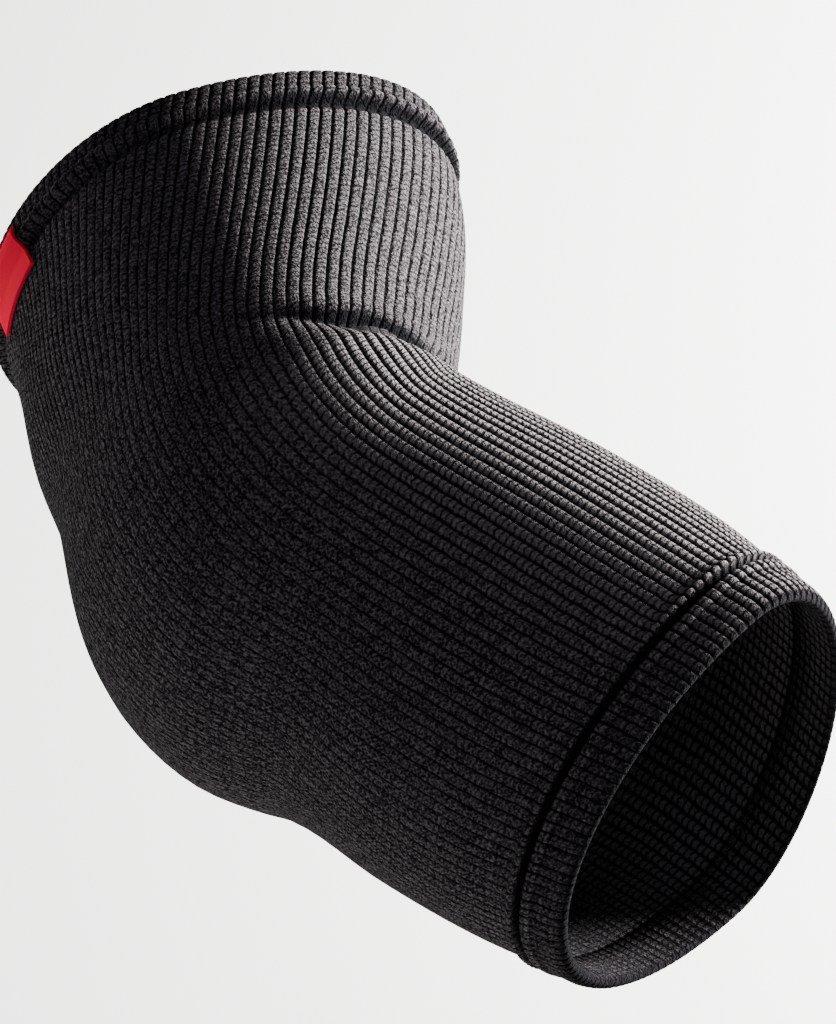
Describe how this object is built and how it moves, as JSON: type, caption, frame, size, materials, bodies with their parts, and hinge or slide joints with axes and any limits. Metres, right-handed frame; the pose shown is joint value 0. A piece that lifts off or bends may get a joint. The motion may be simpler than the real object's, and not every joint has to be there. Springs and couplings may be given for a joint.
{
  "type": "elbow support sleeve",
  "caption": "Pull-on ribbed knit elbow support shaped as worn on a bent arm: an open tube with a turned, stitched hem at each end, a fold in the crook and a small woven side label.",
  "frame": {"origin": "inside the elbow, where the middle line of the upper-arm part meets the middle line of the forearm part", "axes": "+Y up the upper arm towards the shoulder, forearm part leaving towards +X and -Y, +Z square to the plane of the bend, on the side seen in the picture"},
  "size_m": [0.1378, 0.1931, 0.1078],
  "materials": {
    "knit": "matte rib knit, near black",
    "woven_label": "matte woven tape, red"
  },
  "bodies": {
    "root": {"sleeve": "knit", "upper_hem": "knit", "lower_hem": "knit", "label": "woven_label"}
  },
  "joints": []
}
